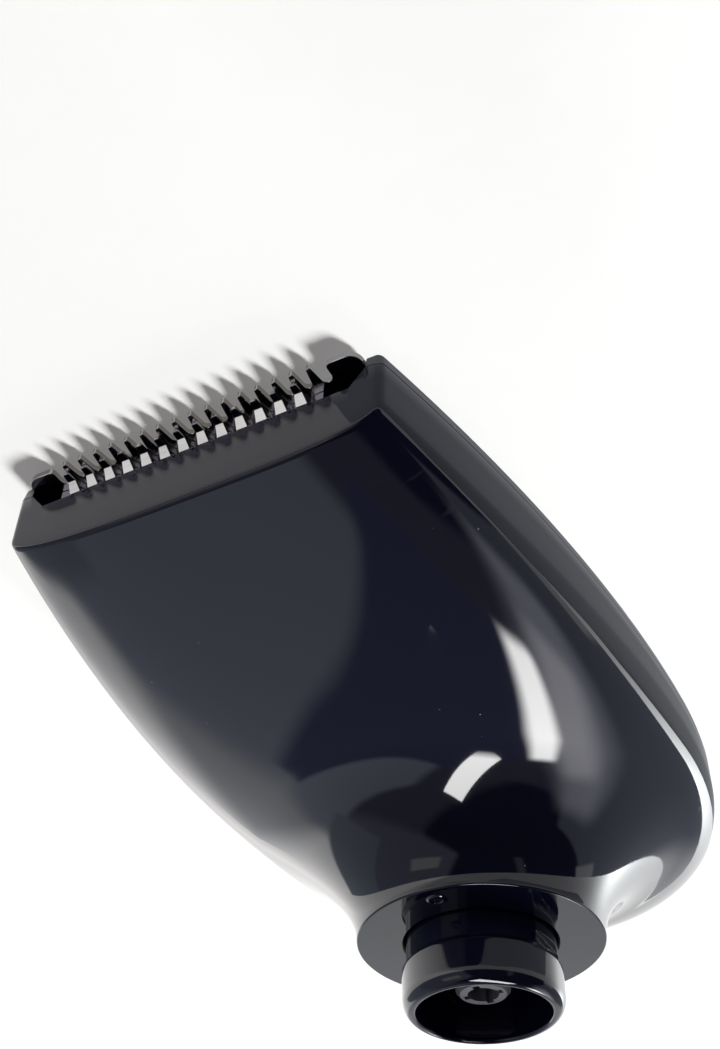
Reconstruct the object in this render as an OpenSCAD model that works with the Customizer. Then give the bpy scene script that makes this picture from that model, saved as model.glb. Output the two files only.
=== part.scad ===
// Clip-on groomer head: a toothed cutter under a glossy housing, driven through a snap-in spigot.
// Millimetres. Origin: centre of the flange face. +Z: out of the spigot. -Y: towards the teeth.

/* [Housing] */
// Radius of the flange face that seats on the handle
flange_r = 10.6; // [10.4:0.1:11]
// Width of the flat end face above the teeth
front_w = 30; // [29.6:0.1:30.6]
// Width of the housing at its widest point
body_w = 42; // [41:0.1:43]
// Distance from the coupling axis to the end face
front_reach = 48.6; // [48.6:0.1:48.8]
// Distance from the coupling axis to the rear end
rear_reach = 26.4; // [26:0.1:28]
// Distance of the widest point in front of the coupling axis
widest_reach = 2.5; // [1:0.1:4]
// Height from the skin side to the flange face
total_h = 18; // [18:0.1:18]
// Height of the parting line over the skin side
cover_t = 1.2; // [1.2:0.1:1.2]
// Housing wall thickness
wall = 1.5; // [1.4:0.1:1.6]
// Height of the end face over the parting line, at its middle
front_h = 6.1; // [6:0.1:6.5]
// Height the back of the housing climbs to, under the neck
crown_h = 10.9; // [10.5:0.1:11]
// Height of the crease in the side wall
crease_h = 3.2; // [3.1:0.1:3.3]
// How far the neck flares out towards the teeth
flare_front = 11; // [10:0.5:12]
// How far the neck flares out to the sides
flare_side = 8; // [7.5:0.1:8.5]
// How far the neck flares out to the rear
flare_rear = 9; // [8.5:0.5:10]

/* [Spigot] */
// Radius of the snap bead
bead_r = 6.75; // [6.7:0.05:6.8]
// Radius of the groove under the bead
groove_r = 6.4; // [6.3:0.05:6.4]
// Radius of the spigot's mouth
mouth_r = 5.6; // [5.4:0.05:5.6]
// Height of the spigot over the flange
spigot_h = 6.15; // [6:0.05:6.5]

/* [Blades] */
// Number of teeth on the fixed comb
comb_teeth = 16; // [14:2:16]
// Pitch of the comb's teeth
comb_pitch = 1.35; // [1.3:0.01:1.36]
// Number of teeth on the moving cutter
cutter_teeth = 13; // [11:2:13]
// Pitch of the cutter's teeth
cutter_pitch = 1.58; // [1.5:0.01:1.58]
// How far the comb's teeth reach past the end face
comb_reach = 1.3; // [1.2:0.05:1.35]

/* [Drive] */
// Offset of the cam from the shaft's axis
cam_offset = 0.4; // [0.3:0.01:0.4]
// Radius of the drive shaft
shaft_r = 1.0; // [1:0.05:1]
// Radial clearance of every running fit
run_gap = 0.03; // [0.02:0.01:0.05]
// Distance of the lever's pivot from the coupling axis
pivot_reach = 14.5; // [14.5:0.1:14.5]
// Distance of the lever's front pin from the coupling axis
tip_reach = 44.6; // [44.6:0.1:44.6]

/* [Hidden] */
$fn = 64;
e = 0.01;
far = 60;

// ---- levels ----
base_z = -total_h;
part_z = base_z + cover_t;
plate_t = 1.6;
comb_top = -17.2;
comb_bottom = -17.9;
cutter_bottom = comb_top + 0.05;
cutter_top = cutter_bottom + 0.95;
block_top = cutter_top + 0.7;
bridge_top = -16.0;
lever_bottom = -15.3;
lever_top = -13.8;
frame_bottom = -12;
pad_top = -15.9;

// ---- housing surface ----
front_steps = 8;
side_steps = 14;
rear_steps = 13;
outer_rings = 16;
inner_rings = 11;
side_power = 1.95;
rear_power = 2.3;
crown_power = 3.3;
crown_soften = 1.5;
soften_back_y = 13;
crease_fall = 0.35;
crease_cut = 0.995;
crown_back_y = -3.5;

// Half width of the outline, moved in by a wall thickness
function half_width(y, inset) =
    let (wide = body_w / 2 - inset, t = (-widest_reach - y) / (front_reach - inset - widest_reach))
    y < -widest_reach
        ? wide - (wide - front_w / 2 + inset) * pow(t, side_power)
        : wide * pow(1 - pow(rear_part(y, inset), rear_power), 1 / rear_power);

// Share of the way from the widest point to the rear end
function rear_part(y, inset) = (y + widest_reach) / (rear_reach - inset + widest_reach);

// Right half of the outline: end face, side, rounded rear
function right_half(inset) = concat(
    [for (i = [0 : front_steps - 1]) [(front_w / 2 - inset) * i / front_steps, inset - front_reach]],
    [for (i = [0 : side_steps - 1])
        let (y = inset - front_reach + (front_reach - inset - widest_reach) * i / side_steps)
        [half_width(y, inset), y]],
    [for (i = [0 : rear_steps])
        let (a = 90 * i / rear_steps, p = 2 / rear_power, reach = rear_reach - inset + widest_reach)
        [(body_w / 2 - inset) * pow(cos(a), p), reach * pow(sin(a), p) - widest_reach]]
);

function outline(inset) =
    let (half = right_half(inset))
    concat(half, [for (i = [len(half) - 2 : -1 : 1]) [-half[i][0], half[i][1]]]);

// Zero on the axis of symmetry, one on the outline
function gauge(x, y, inset) =
    let (wide = body_w / 2 - inset)
    y < -widest_reach
        ? abs(x) / half_width(y, inset)
        : pow(pow(abs(x) / wide, rear_power) + pow(rear_part(y, inset), rear_power), 1 / rear_power);

function ease(t) = t * t * (3 - 2 * t);

// Share of the way from the end face back to a given y
function along(y, back_y) = min(1, max(0, (y + front_reach) / (back_y + front_reach)));

// Height of the crown without its neck
function crown_z(x, y, inset) =
    let (
        back = along(y, crown_back_y),
        ridge = front_h + (crown_h - front_h) * back * (3 - back * back) / 2,
        crease = crease_h - crease_fall * ease(back),
        power = crown_power - crown_soften * ease(along(y, soften_back_y)),
        g = min(1, gauge(x, y, inset)) * (crease_cut + (1 - crease_cut) * ease(back))
    )
    part_z - inset + crease + (ridge - crease) * pow(max(0, 1 - pow(g, power)), 1 / power);

// Width of the neck's flare in a direction
function flare(x, y) =
    let (c = y / norm([x, y]))
    flare_side + c * c * ((c < 0 ? flare_front : flare_rear) - flare_side);

// Height of the housing's surface: the crown with the neck blended in
function top_z(x, y, inset) =
    let (
        start = inset > 0 ? -plate_t : 0,
        t = min(1, max(0, (norm([x, y]) - flange_r + inset) / flare(x, y)))
    )
    start + (crown_z(x, y, inset) - start) * sqrt(max(0, 1 - (1 - t) * (1 - t)));

// One ring of the surface, from the neck (share 0) to the outline (share 1)
function ring(inset, share) = [
    for (p = outline(inset))
        let (reach = norm(p), r = flange_r - inset + (reach - flange_r + inset) * share, q = p * r / reach)
        [q[0], q[1], top_z(q[0], q[1], inset)]
];

function rings(inset, count) = [for (i = [0 : count]) ring(inset, (1 - cos(180 * i / count)) / 2)];

function flat_ring(inset, z) = [for (p = outline(inset)) [p[0], p[1], z]];

function reversed(list) = [for (i = [len(list) - 1 : -1 : 0]) list[i]];

module ring_skin(levels) {
    n = len(levels[0]);
    last = len(levels) - 1;
    points = [for (level = levels) each level];
    sides = [for (i = [0 : last - 1], k = [0 : n - 1], half = [0, 1])
        let (a = i * n + k, b = i * n + (k + 1) % n, c = b + n, d = a + n)
        half == 0 ? [a, b, c] : [a, c, d]];
    first_cap = [for (k = [n - 1 : -1 : 0]) k];
    last_cap = [for (k = [0 : n - 1]) last * n + k];
    polyhedron(points, concat(sides, [first_cap, last_cap]), convexity = 8);
}

module plain_slab(inset, z0, z1) {
    translate([0, 0, z0])
        linear_extrude(z1 - z0)
            polygon(outline(inset));
}

// ---- snap hooks ----
hook_ys = [-30, -12, 8];
hook_w = 3;
hook_post = 1;
hook_nub = 0.45;
hook_gap = 0.6;
hook_top = -15.1;
hook_play = 0.05;
ledge_z0 = -16;
ledge_z1 = -15.45;
ledge_w = 0.5;
ledge_sink = 0.4;

// Puts its children on the inside of the side wall, +X pointing outwards, on both sides
module at_hooks() {
    for (y = hook_ys, side = [1, -1])
        let (step = 1, slope = half_width(y + step, wall) - half_width(y - step, wall))
        scale_side(side)
            translate([half_width(y, wall), y, 0])
                rotate([0, 0, -atan2(slope, 2 * step)])
                    children();
}

module scale_side(side) {
    if (side > 0)
        children();
    else
        mirror([1, 0, 0])
            children();
}

// ---- screws ----
frame_screw_r = 0.6;
frame_screw_ring = 7.6;
frame_screw_angles = [90, 210, 330];
blade_screw_r = 0.7;
blade_screw_x = 9.5;
blade_screw_y = -40.6;

module at_frame_screws() {
    for (a = frame_screw_angles)
        rotate([0, 0, a])
            translate([frame_screw_ring, 0, 0])
                children();
}

module at_blade_screws() {
    for (side = [-1, 1])
        translate([side * blade_screw_x, blade_screw_y, 0])
            children();
}

module cross_recess(r, depth) {
    for (a = [0, 90])
        rotate([0, 0, a])
            translate([-r, -r / 5, -depth])
                cube([2 * r, 2 * r / 5, depth + e]);
}

// ---- housing ----
window_h = 1.45;
window_low_hw = 13.8;
window_top_hw = 12.6;
hole_gap = 0.05;
hole_bevel = 0.25;

module front_window() {
    translate([0, wall - front_reach + 1, 0])
        rotate([90, 0, 0])
            linear_extrude(wall + 2)
                polygon([
                    [-window_low_hw, part_z - 1],
                    [window_low_hw, part_z - 1],
                    [window_low_hw, part_z],
                    [window_top_hw, part_z + window_h],
                    [-window_top_hw, part_z + window_h],
                    [-window_low_hw, part_z]
                ]);
}

module upper_housing() {
    hole_r = groove_r + hole_gap;
    color("midnightblue")
        difference() {
            union() {
                ring_skin(concat(
                    rings(0, outer_rings), [flat_ring(0, part_z), flat_ring(wall, part_z)],
                    reversed(rings(wall, inner_rings))
                ));
                at_hooks()
                    translate([-ledge_w, -hook_w / 2, ledge_z0])
                        cube([ledge_w + ledge_sink, hook_w, ledge_z1 - ledge_z0]);
            }
            translate([0, 0, -plate_t - 1])
                cylinder(r = hole_r, h = plate_t + 2);
            translate([0, 0, -hole_bevel])
                cylinder(r1 = hole_r, r2 = hole_r + hole_bevel + e, h = hole_bevel + e);
            at_frame_screws()
                translate([0, 0, -plate_t - 1])
                    cylinder(r = frame_screw_r, h = plate_t + 0.5);
            front_window();
        }
}

// ---- spigot ----
bead_z0 = 2.5;
bead_z1 = 4.9;
latch_x = 5.9;
latch_z0 = 1.06;
latch_z1 = 2.76;
collar_flange_r = 8.8;
seal_hole_r = 3.7;
collar_hollow_r = 5;
floor_top = -0.4;
floor_bottom = -1.8;
screw_gap = 0.05;

module coupling_collar() {
    lip = 0.25;
    round_steps = 8;
    color("midnightblue")
        difference() {
            rotate_extrude()
                polygon(concat(
                    [[seal_hole_r, floor_top], [mouth_r, floor_top], [mouth_r, spigot_h - 0.1],
                        [mouth_r + 0.1, spigot_h]],
                    [for (i = [0 : round_steps])
                        let (a = 90 * i / round_steps, in_r = mouth_r + lip)
                        [in_r + (bead_r - in_r) * sin(a), bead_z1 + (spigot_h - bead_z1) * cos(a)]],
                    [[bead_r, bead_z0], [groove_r, bead_z0 - 0.4], [groove_r, -plate_t],
                        [collar_flange_r, -plate_t], [collar_flange_r, -2 * plate_t],
                        [collar_hollow_r, -2 * plate_t],
                        [collar_hollow_r, floor_bottom], [seal_hole_r, floor_bottom]]
                ));
            for (side = [-1, 1])
                translate([side > 0 ? latch_x : -latch_x - bead_r, -bead_r, latch_z0])
                    cube([bead_r, 2 * bead_r, latch_z1 - latch_z0]);
            at_frame_screws()
                translate([0, 0, -2 * plate_t - 1])
                    cylinder(r = frame_screw_r + screw_gap, h = plate_t + 2);
        }
}

module hair_seal() {
    lip_r = socket_r + 0.06;
    lip_z0 = -1.3;
    lip_z1 = -0.9;
    lip_taper = 0.5;
    seal_top = -0.5;
    color("dimgray")
        rotate_extrude()
            polygon([
                [lip_r, lip_z0], [lip_r, lip_z1], [lip_r + lip_taper, seal_top],
                [seal_hole_r, seal_top], [seal_hole_r, floor_bottom], [lip_r + lip_taper, floor_bottom]
            ]);
}

// ---- skin-side cover ----
blade_hw = 13.75;
pocket_gap = 0.1;
pocket_y = -38.4;
bridge_y0 = -42.2;
bridge_y1 = -37.8;
rim_h = 0.7;
rim_t = 0.8;
rim_gap = 0.1;
shaft_pad_r = 3;
pivot_pad_r = 2.6;
pivot_pin_r = 1.2;
pin_floor = 0.7;

module lower_cover() {
    pocket_hw = blade_hw + pocket_gap;
    color("midnightblue")
        difference() {
            union() {
                plain_slab(0, base_z, part_z);
                difference() {
                    plain_slab(wall + rim_gap, part_z - e, part_z + rim_h);
                    plain_slab(wall + rim_gap + rim_t, part_z - 1, part_z + rim_h + 1);
                    translate([-body_w / 2, -far, part_z - 1])
                        cube([body_w, far + bridge_y1, rim_h + 2]);
                }
                translate([-blade_hw + 0.5, bridge_y0, comb_top])
                    cube([2 * blade_hw - 1, bridge_y1 - bridge_y0, bridge_top - comb_top]);
                at_hooks() {
                    translate([-hook_gap - hook_post, -hook_w / 2, part_z - e])
                        cube([hook_post, hook_w, hook_top - part_z + e]);
                    translate([-hook_gap - hook_post, -hook_w / 2, ledge_z1 + hook_play])
                        cube([hook_post + hook_nub, hook_w, hook_top - ledge_z1 - hook_play]);
                }
                translate([0, 0, part_z - e])
                    cylinder(r = shaft_pad_r, h = pad_top - part_z + e);
                translate([0, -pivot_reach, part_z - e])
                    cylinder(r = pivot_pad_r, h = pad_top - part_z + e);
            }
            translate([-pocket_hw, -far, base_z - 1])
                cube([2 * pocket_hw, far + pocket_y, comb_top - base_z + 1]);
            translate([-pocket_hw, -far, comb_top - e])
                cube([2 * pocket_hw, far + bridge_y0, part_z - comb_top + 1]);
            translate([0, -pivot_reach, base_z + pin_floor])
                cylinder(r = pivot_pin_r, h = cover_t + rim_h);
            at_blade_screws()
                translate([0, 0, comb_top - 1])
                    cylinder(r = blade_screw_r + screw_gap, h = 3);
        }
}

// ---- blades ----
comb_root_y = -48.55;
comb_tip_y = -front_reach - comb_reach;
comb_rear_y = -38.6;
tooth_t = 0.5;
lobe_hw = 11.3;
cutter_hw = 11;
cutter_rear_y = -42.5;
cutter_root_y = -47.7;
cutter_flat_y = -47.98;
cutter_bevel_y = -48.53;
cutter_tip_y = -49.3;
cutter_tip_t = 0.29;
rivet_r = 0.6;
rivet_x = 5;
rivet_y = -44.5;
spring_t = 0.25;

module comb_tooth() {
    tip_r = 0.2;
    polygon([
        [-0.42, comb_root_y + 0.3], [-0.36, comb_root_y - 0.1], [-tip_r, comb_tip_y + tip_r],
        [tip_r, comb_tip_y + tip_r], [0.36, comb_root_y - 0.1], [0.42, comb_root_y + 0.3]
    ]);
    translate([0, comb_tip_y + tip_r])
        circle(r = tip_r);
}

module comb_lobe() {
    corner = 1;
    front = comb_tip_y + 0.2;
    polygon([
        [lobe_hw, comb_root_y + 0.3], [lobe_hw, front + 0.3], [lobe_hw + 0.3, front],
        [blade_hw - corner, front], [blade_hw, front + corner], [blade_hw, comb_root_y + 0.3]
    ]);
    translate([blade_hw - corner, front + corner])
        circle(r = corner);
}

module fixed_blade() {
    color("silver")
        difference() {
            union() {
                translate([0, 0, comb_top - tooth_t])
                    linear_extrude(tooth_t)
                        union() {
                            for (i = [0 : comb_teeth - 1])
                                translate([(i - (comb_teeth - 1) / 2) * comb_pitch, 0])
                                    comb_tooth();
                            comb_lobe();
                            mirror([1, 0])
                                comb_lobe();
                            translate([-blade_hw, comb_root_y])
                                square([2 * blade_hw, 1]);
                        }
                translate([-blade_hw, comb_root_y + 0.5, comb_bottom])
                    cube([2 * blade_hw, comb_rear_y - comb_root_y - 0.5, comb_top - comb_bottom]);
            }
            at_blade_screws()
                translate([0, 0, comb_bottom - 1])
                    cylinder(r = blade_screw_r, h = 3);
        }
}

module cutter_tooth() {
    polygon([
        [-0.55, cutter_root_y + 0.3], [-0.49, cutter_root_y], [-0.31, cutter_bevel_y],
        [-0.24, cutter_tip_y], [0.24, cutter_tip_y], [0.31, cutter_bevel_y],
        [0.49, cutter_root_y], [0.55, cutter_root_y + 0.3]
    ]);
}

// Takes each tooth down along a bevel to a thin tip
module tooth_relief() {
    tip_top = cutter_bottom + cutter_tip_t;
    translate([-cutter_hw - 1, 0, 0])
        rotate([90, 0, 90])
            linear_extrude(2 * cutter_hw + 2)
                polygon([
                    [cutter_flat_y, cutter_top + 1], [cutter_flat_y, cutter_top], [cutter_bevel_y, tip_top],
                    [cutter_tip_y - 1, tip_top], [cutter_tip_y - 1, cutter_top + 1]
                ]);
}

module moving_cutter() {
    color("gray")
        translate([rest_shift, 0, 0])
            difference() {
                translate([0, 0, cutter_bottom])
                    linear_extrude(cutter_top - cutter_bottom)
                        union() {
                            for (i = [0 : cutter_teeth - 1])
                                translate([(i - (cutter_teeth - 1) / 2) * cutter_pitch, 0])
                                    cutter_tooth();
                            translate([-cutter_hw, cutter_root_y])
                                square([2 * cutter_hw, cutter_rear_y - cutter_root_y]);
                        }
                tooth_relief();
                for (side = [-1, 1])
                    translate([side * rivet_x, rivet_y, cutter_bottom - 1])
                        cylinder(r = rivet_r, h = 3);
            }
}

module cutter_block() {
    block_hw = 7;
    block_y = -46.4;
    block_d = 3.8;
    slot_hw = lever_pin_r + run_gap;
    slot_y = -46;
    slot_d = 2.8;
    color("darkslategray")
        translate([rest_shift, 0, 0])
            union() {
                difference() {
                    translate([-block_hw, block_y, cutter_top])
                        cube([2 * block_hw, block_d, block_top - cutter_top]);
                    translate([-slot_hw, slot_y, cutter_top - 1])
                        cube([2 * slot_hw, slot_d, 3]);
                }
                for (side = [-1, 1])
                    translate([side * rivet_x, rivet_y, cutter_bottom + 0.05])
                        cylinder(r = rivet_r, h = cutter_top - cutter_bottom);
            }
}

module blade_spring() {
    t = spring_t;
    base_hw = 11;
    base_y0 = -41.2;
    base_y1 = -38.8;
    arm_root_y = -40.5;
    arm_x = 4.5;
    arm_w = 1.6;
    touch_y0 = -45.8;
    touch_y1 = -42.3;
    touch_z = block_top + run_gap;
    tip_y = -46.3;
    tip_lift = 0.3;
    fold = 0.1;
    color("lightsteelblue") {
        difference() {
            translate([-base_hw, base_y0, bridge_top])
                cube([2 * base_hw, base_y1 - base_y0, t]);
            at_blade_screws()
                translate([0, 0, bridge_top - 1])
                    cylinder(r = blade_screw_r + screw_gap, h = 3);
        }
        for (side = [-1, 1])
            translate([side * arm_x - arm_w / 2, 0, 0])
                rotate([90, 0, 90])
                    linear_extrude(arm_w)
                        polygon([
                            [arm_root_y, bridge_top], [base_y0, bridge_top], [touch_y1, touch_z],
                            [touch_y0, touch_z], [tip_y, touch_z + tip_lift],
                            [tip_y, touch_z + tip_lift + t], [touch_y0 + fold, touch_z + t],
                            [touch_y1 + fold, touch_z + t], [base_y0 + fold, bridge_top + t],
                            [arm_root_y, bridge_top + t]
                        ]);
    }
}

module blade_screws() {
    head_z = bridge_top + spring_t;
    head_h = 0.7;
    head_r = 1.5;
    recess_r = 0.9;
    recess_d = 0.4;
    color("silver")
        at_blade_screws()
            difference() {
                union() {
                    translate([0, 0, comb_bottom + 0.1])
                        cylinder(r = blade_screw_r, h = head_z - comb_bottom);
                    translate([0, 0, head_z])
                        cylinder(r = head_r, h = head_h);
                }
                translate([0, 0, head_z + head_h])
                    cross_recess(recess_r, recess_d);
            }
}

// ---- inner frame and shaft ----
socket_r = 2.3;
bush_r = 2.2;
bush_h = 2;
upper_bush_top = -3.5;
hub_r = 3.6;
frame_top = -2 * plate_t;
ring_bottom = frame_top - 1.4;
arm_top = frame_bottom + 1.4;
shaft_bottom = -15.8;
shaft_top = 0.4;
clip_z = -12.45;
clip_t = 0.35;
clip_r = 2;
clip_mouth = 1.1;
clip_groove_r = 0.75;
clip_groove_play = 0.05;

module bearing_frame() {
    ring_r = 8.6;
    boss_r = 2.4;
    boss_h = 0.6;
    web_t = 1.2;
    web_foot_y = -3;
    web_top_y = -8;
    shaft_hole_r = shaft_r + 0.3;
    color("slategray")
        difference() {
            union() {
                translate([0, 0, ring_bottom])
                    cylinder(r = ring_r, h = frame_top - ring_bottom);
                translate([0, 0, frame_bottom])
                    cylinder(r = hub_r, h = frame_top - frame_bottom);
                translate([-hub_r, -pivot_reach, frame_bottom])
                    cube([2 * hub_r, pivot_reach, arm_top - frame_bottom]);
                translate([0, -pivot_reach, frame_bottom])
                    cylinder(r = hub_r, h = arm_top - frame_bottom);
                translate([0, -pivot_reach, frame_bottom - boss_h])
                    cylinder(r = boss_r, h = 1);
                translate([-web_t / 2, 0, 0])
                    rotate([90, 0, 90])
                        linear_extrude(web_t)
                            polygon([
                                [web_foot_y, ring_bottom + e], [web_foot_y, arm_top - e],
                                [-pivot_reach - web_foot_y, arm_top - e], [web_top_y, ring_bottom + e]
                            ]);
            }
            translate([0, 0, frame_bottom - 1])
                cylinder(r = shaft_hole_r, h = 12);
            translate([0, 0, upper_bush_top - bush_h])
                cylinder(r = bush_r, h = 5);
            translate([0, 0, frame_bottom - 1])
                cylinder(r = bush_r, h = bush_h + 1);
            translate([0, -pivot_reach, frame_bottom - 1])
                cylinder(r = pivot_pin_r, h = 3);
            at_frame_screws()
                translate([0, 0, ring_bottom - 1])
                    cylinder(r = frame_screw_r + screw_gap, h = 3);
        }
}

module frame_screws() {
    head_h = 0.8;
    head_r = 1.15;
    tip_z = -0.6;
    recess_r = 0.7;
    recess_d = 0.4;
    color("silver")
        at_frame_screws()
            difference() {
                union() {
                    translate([0, 0, ring_bottom - head_h])
                        cylinder(r = head_r, h = head_h);
                    translate([0, 0, ring_bottom - e])
                        cylinder(r = frame_screw_r, h = tip_z - ring_bottom);
                }
                translate([0, 0, ring_bottom - head_h])
                    rotate([180, 0, 0])
                        cross_recess(recess_r, recess_d);
            }
}

module bush(z) {
    color("peru")
        translate([0, 0, z])
            difference() {
                cylinder(r = bush_r, h = bush_h);
                translate([0, 0, -1])
                    cylinder(r = shaft_r + run_gap, h = bush_h + 2);
            }
}

module upper_bush() {
    bush(upper_bush_top - bush_h);
}

module lower_bush() {
    bush(frame_bottom);
}

module thrust_washer() {
    washer_r = 2.1;
    washer_t = 0.4;
    color("silver")
        translate([0, 0, upper_bush_top])
            difference() {
                cylinder(r = washer_r, h = washer_t);
                translate([0, 0, -1])
                    cylinder(r = shaft_r + run_gap, h = 2);
            }
}

module drive_socket() {
    socket_top = 4.4;
    socket_bottom = -3.05;
    recess_r = 1.3;
    recess_z = 1;
    edge = 0.35;
    cross_hw = 1.7;
    cross_t = 0.6;
    color("gray")
        difference() {
            rotate_extrude()
                polygon([
                    [shaft_r, socket_bottom], [socket_r, socket_bottom], [socket_r, socket_top - edge],
                    [socket_r - edge, socket_top], [recess_r, socket_top], [recess_r, recess_z],
                    [0, recess_z], [0, shaft_top], [shaft_r, shaft_top]
                ]);
            for (a = [0, 90])
                rotate([0, 0, a])
                    translate([-cross_hw, -cross_t / 2, recess_z])
                        cube([2 * cross_hw, cross_t, socket_top]);
        }
}

module drive_shaft() {
    color("silver")
        difference() {
            translate([0, 0, shaft_bottom])
                cylinder(r = shaft_r, h = shaft_top - shaft_bottom);
            translate([0, 0, clip_z - clip_groove_play])
                difference() {
                    cylinder(r = shaft_r + 1, h = clip_t + 2 * clip_groove_play);
                    translate([0, 0, -1])
                        cylinder(r = clip_groove_r, h = 3);
                }
        }
}

module retaining_clip() {
    color("silver")
        translate([0, 0, clip_z])
            difference() {
                cylinder(r = clip_r, h = clip_t);
                translate([0, 0, -1])
                    cylinder(r = clip_groove_r, h = 3);
                translate([0, -clip_mouth / 2, -1])
                    cube([5, clip_mouth, 3]);
            }
}

// ---- cam and lever ----
cam_r = 1.9;
cam_top = -13.6;
cam_bottom = -15.7;
cam_flange_r = 3.2;
cam_flange_t = 1;
slide_hw = 2.6;
slide_over = 0.1;
slide_under = 0.15;
rest_swing = asin(cam_offset / pivot_reach);
rest_shift = (tip_reach - pivot_reach) * sin(rest_swing);
lever_pin_r = 1;

module drive_cam() {
    color("dimgray")
        difference() {
            union() {
                translate([-cam_offset, 0, cam_bottom])
                    cylinder(r = cam_r, h = cam_top - cam_bottom + e);
                translate([0, 0, cam_top])
                    cylinder(r = cam_flange_r, h = cam_flange_t);
            }
            translate([0, 0, cam_bottom - 1])
                cylinder(r = shaft_r, h = 5);
        }
}

module slide_block() {
    color("tan")
        difference() {
            translate([-cam_offset - slide_hw, -slide_hw, lever_bottom - slide_under])
                cube([2 * slide_hw, 2 * slide_hw, lever_top - lever_bottom + slide_under + slide_over]);
            translate([-cam_offset, 0, lever_bottom - 1])
                cylinder(r = cam_r + run_gap, h = 5);
        }
}

// Places its children on the lever in its rest position, at one end of the stroke
module on_lever() {
    translate([0, -pivot_reach, 0])
        rotate([0, 0, rest_swing])
            children();
}

module lever_plan() {
    // The fork leaves the slide block room for its whole orbit, with the lever at either limit
    fork_hw = slide_hw + 2 * cam_offset + 0.15;
    fork_wall = 1.5;
    fork_half_l = 3.6;
    fork_y = pivot_reach - fork_half_l;
    fork_end = pivot_reach + fork_half_l;
    shoulder_y = fork_y - 1.6;
    eye_r = 2.8;
    tip_r = 1.9;
    tip_y = pivot_reach - tip_reach;
    difference() {
        union() {
            polygon([
                [-eye_r, 0], [eye_r, 0], [fork_hw + fork_wall, shoulder_y],
                [fork_hw + fork_wall, fork_end], [-fork_hw - fork_wall, fork_end],
                [-fork_hw - fork_wall, shoulder_y]
            ]);
            polygon([[-eye_r, 0], [-tip_r, tip_y], [tip_r, tip_y], [eye_r, 0]]);
            circle(r = eye_r);
            translate([0, tip_y])
                circle(r = tip_r);
        }
        translate([-fork_hw, fork_y])
            square([2 * fork_hw, 10]);
        circle(r = pivot_pin_r + run_gap);
        translate([0, tip_y])
            circle(r = lever_pin_r);
    }
}

module rocker_lever() {
    bearing_r = 2.4;
    bearing_h = 2.9;
    bearing_drop = 0.35;
    color("ivory")
        on_lever() {
            translate([0, 0, lever_bottom])
                linear_extrude(lever_top - lever_bottom)
                    lever_plan();
            difference() {
                translate([0, 0, lever_bottom - bearing_drop])
                    cylinder(r = bearing_r, h = bearing_h);
                translate([0, 0, lever_bottom - 1])
                    cylinder(r = pivot_pin_r + run_gap, h = 5);
            }
        }
}

module lever_pin() {
    head_r = 1.4;
    head_h = 0.5;
    floor_gap = 0.15;
    color("silver")
        on_lever()
            translate([0, pivot_reach - tip_reach, 0]) {
                translate([0, 0, cutter_top + floor_gap])
                    cylinder(r = lever_pin_r, h = lever_top - cutter_top);
                translate([0, 0, lever_top])
                    cylinder(r = head_r, h = head_h);
            }
}

module pivot_pin() {
    color("silver")
        translate([0, -pivot_reach, base_z + pin_floor])
            cylinder(r = pivot_pin_r, h = arm_top - base_z - pin_floor);
}

module pivot_washer() {
    color("silver")
        translate([0, -pivot_reach, pad_top])
            difference() {
                cylinder(r = 2.3, h = 0.2);
                translate([0, 0, -1])
                    cylinder(r = pivot_pin_r + run_gap, h = 3);
            }
}

upper_housing();
coupling_collar();
lower_cover();
fixed_blade();
moving_cutter();
cutter_block();
blade_spring();
blade_screws();
bearing_frame();
frame_screws();
upper_bush();
lower_bush();
hair_seal();
drive_socket();
drive_shaft();
thrust_washer();
retaining_clip();
drive_cam();
slide_block();
rocker_lever();
pivot_pin();
pivot_washer();
lever_pin();
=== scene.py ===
"""Looks of the clip-on groomer head: smooth glossy housing, skin-side cover, spigot and blades,
finished materials for every piece, a pale floor, the camera, and light fitted to that camera."""

import math

import bpy
import bmesh
import numpy as np
from mathutils import Matrix, Vector


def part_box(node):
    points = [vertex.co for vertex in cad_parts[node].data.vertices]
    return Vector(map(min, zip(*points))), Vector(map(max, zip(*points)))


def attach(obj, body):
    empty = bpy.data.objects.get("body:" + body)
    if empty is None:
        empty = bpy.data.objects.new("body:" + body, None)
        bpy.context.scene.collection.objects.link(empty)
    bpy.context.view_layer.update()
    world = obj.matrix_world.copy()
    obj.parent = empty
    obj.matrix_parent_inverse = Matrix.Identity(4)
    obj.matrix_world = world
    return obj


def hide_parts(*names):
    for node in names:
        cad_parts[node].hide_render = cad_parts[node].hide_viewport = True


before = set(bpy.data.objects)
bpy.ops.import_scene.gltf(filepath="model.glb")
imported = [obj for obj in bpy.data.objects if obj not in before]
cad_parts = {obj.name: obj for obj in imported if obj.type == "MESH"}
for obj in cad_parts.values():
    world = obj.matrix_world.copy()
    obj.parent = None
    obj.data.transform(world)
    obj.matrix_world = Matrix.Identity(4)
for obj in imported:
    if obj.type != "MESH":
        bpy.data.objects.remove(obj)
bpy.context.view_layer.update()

MM = 0.001
THROUGH = 1.0  # how far a cutting tool passes a face, mm


def corner_mm(node, which):
    return [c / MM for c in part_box(node)[which]]


# ---- driving dimensions in millimetres, from the frame ----
HOUSING_LOW, HOUSING_HIGH = corner_mm("upper_housing", 0), corner_mm("upper_housing", 1)
COVER_LOW = corner_mm("lower_cover", 0)
COLLAR_HIGH = corner_mm("coupling_collar", 1)
COMB_LOW, COMB_HIGH = corner_mm("fixed_blade", 0), corner_mm("fixed_blade", 1)
CUTTER_LOW, CUTTER_HIGH = corner_mm("moving_cutter", 0), corner_mm("moving_cutter", 1)

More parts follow.
